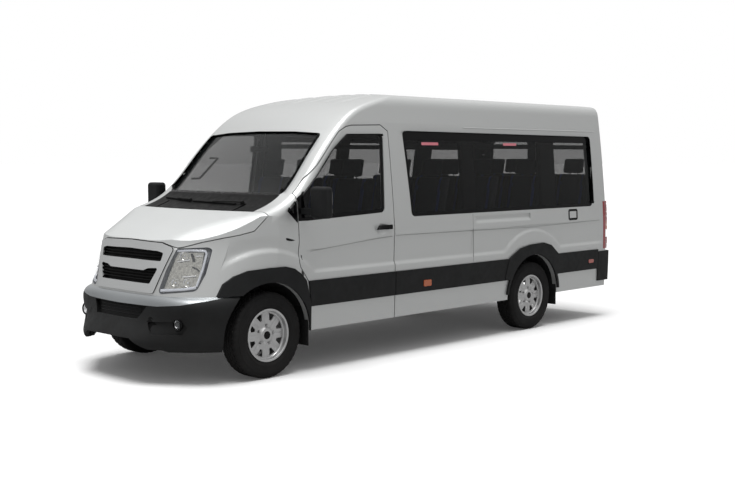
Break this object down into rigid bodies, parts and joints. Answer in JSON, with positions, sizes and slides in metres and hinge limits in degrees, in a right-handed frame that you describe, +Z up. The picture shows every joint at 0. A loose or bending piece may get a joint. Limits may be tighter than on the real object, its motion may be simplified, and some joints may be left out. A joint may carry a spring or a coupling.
{
  "type": "minibus",
  "caption": "Passenger minibus with a hollow body, glazed saloon and seats, hinged front doors, rear doors and bonnet, steered front wheels and a solid rear axle.",
  "frame": {"origin": "on the floor under the middle of the vehicle's bounding box", "axes": "+X towards the nose along the vehicle, +Y towards its left side, +Z up"},
  "size_m": [6.2509, 2.58, 2.5],
  "materials": {
    "body_paint": "satin metallic",
    "bonnet_paint": "satin metallic",
    "black_plastic": "grained",
    "tinted_glass": "polished",
    "windscreen_glass": "polished",
    "grille_silver": "satin",
    "clear_lens": "polished",
    "red_lens": "gloss",
    "tyre_rubber": "matt",
    "wheel_silver": "satin",
    "frame_black": "satin",
    "cast_metal": "rough",
    "steel": "plain",
    "floor_vinyl": "textured",
    "cabin_grey": "grained",
    "seat_fabric": "woven"
  },
  "bodies": {
    "root": {"roof": "body_paint", "side_panels": "body_paint", "sliding_door": "body_paint", "rear_frame": "body_paint", "tail_lamps": "red_lens", "door_hinges": "steel", "windscreen": "windscreen_glass", "bonnet_hinges": "steel", "head_lamps": "clear_lens", "grille": "grille_silver", "scuttle": "black_plastic", "fenders": "body_paint", "front_panel": "body_paint", "cab_frame": "body_paint", "side_windows": "tinted_glass", "bumper_strip": "body_paint", "front_bumper": "black_plastic", "fog_lamps": "clear_lens", "rear_bumper": "black_plastic", "side_cladding": "black_plastic", "wheel_housings": "black_plastic", "floor": "floor_vinyl", "dashboard": "cabin_grey", "cab_seats": "seat_fabric", "passenger_seats": "seat_fabric", "luggage_racks": "cabin_grey", "chassis": "frame_black", "engine": "cast_metal", "gearbox": "cast_metal", "drive_shaft": "frame_black", "fuel_tank": "frame_black", "exhaust": "steel", "rear_axle": "frame_black", "front_suspension": "frame_black", "mud_flaps": "black_plastic"},
    "driver_door": {"driver_door": "body_paint", "driver_door_window": "tinted_glass", "driver_door_cladding": "black_plastic", "mirror_left": "black_plastic"},
    "passenger_door": {"passenger_door": "body_paint", "passenger_door_window": "tinted_glass", "passenger_door_cladding": "black_plastic", "mirror_right": "black_plastic"},
    "rear_door_left": {"rear_door_left": "body_paint", "rear_window_left": "tinted_glass"},
    "rear_door_right": {"rear_door_right": "body_paint", "rear_window_right": "tinted_glass"},
    "bonnet": {"bonnet": "bonnet_paint"},
    "knuckle_left": {"knuckle_left": "frame_black"},
    "knuckle_right": {"knuckle_right": "frame_black"},
    "front_wheel_left": {"tyre_front_left": "tyre_rubber", "wheel_front_left": "wheel_silver"},
    "front_wheel_right": {"tyre_front_right": "tyre_rubber", "wheel_front_right": "wheel_silver"},
    "rear_wheel_left": {"tyre_rear_left": "tyre_rubber", "wheel_rear_left": "wheel_silver"},
    "rear_wheel_right": {"tyre_rear_right": "tyre_rubber", "wheel_rear_right": "wheel_silver"},
    "steering_wheel": {"steering_wheel": "cabin_grey"}
  },
  "joints": [
    {"name": "driver_door_hinge", "type": "hinge", "parent": "root", "child": "driver_door", "pos_m": [1.795, 0.986, 1.09], "axis": [0, 0, -1], "range_deg": [0, 70]},
    {"name": "passenger_door_hinge", "type": "hinge", "parent": "root", "child": "passenger_door", "pos_m": [1.795, -0.986, 1.09], "axis": [0, 0, 1], "range_deg": [0, 70]},
    {"name": "rear_door_left_hinge", "type": "hinge", "parent": "root", "child": "rear_door_left", "pos_m": [-3.051, 0.802, 1.44], "axis": [0, 0, -1], "range_deg": [0, 90]},
    {"name": "rear_door_right_hinge", "type": "hinge", "parent": "root", "child": "rear_door_right", "pos_m": [-3.051, -0.802, 1.44], "axis": [0, 0, 1], "range_deg": [0, 90]},
    {"name": "bonnet_hinge", "type": "hinge", "parent": "root", "child": "bonnet", "pos_m": [2.05488, 0, 1.385], "axis": [0, -1, 0], "range_deg": [0, 60]},
    {"name": "steer_left", "type": "hinge", "parent": "root", "child": "knuckle_left", "pos_m": [2.155, 0.788, 0.368], "axis": [0, 0, 1], "range_deg": [-33, 33]},
    {"name": "steer_right", "type": "hinge", "parent": "root", "child": "knuckle_right", "pos_m": [2.155, -0.788, 0.368], "axis": [0, 0, 1], "range_deg": [-33, 33]},
    {"name": "front_wheel_left_spin", "type": "hinge", "parent": "knuckle_left", "child": "front_wheel_left", "pos_m": [2.155, 0.8675, 0.368], "axis": [0, 1, 0], "continuous": true},
    {"name": "front_wheel_right_spin", "type": "hinge", "parent": "knuckle_right", "child": "front_wheel_right", "pos_m": [2.155, -0.8675, 0.368], "axis": [0, 1, 0], "continuous": true},
    {"name": "rear_wheel_left_spin", "type": "hinge", "parent": "root", "child": "rear_wheel_left", "pos_m": [-1.595, 0.8675, 0.368], "axis": [0, 1, 0], "continuous": true},
    {"name": "rear_wheel_right_spin", "type": "hinge", "parent": "root", "child": "rear_wheel_right", "pos_m": [-1.595, -0.8675, 0.368], "axis": [0, 1, 0], "continuous": true},
    {"name": "steering_wheel_turn", "type": "hinge", "parent": "root", "child": "steering_wheel", "pos_m": [1.35512, 0.5, 1.3], "axis": [-0.8192, 0, 0.5736], "range_deg": [-400, 400]}
  ],
  "couplings": [
    {"joint": "steer_right", "follows": "steer_left", "ratio": 1},
    {"joint": "steering_wheel_turn", "follows": "steer_left", "ratio": 12}
  ]
}
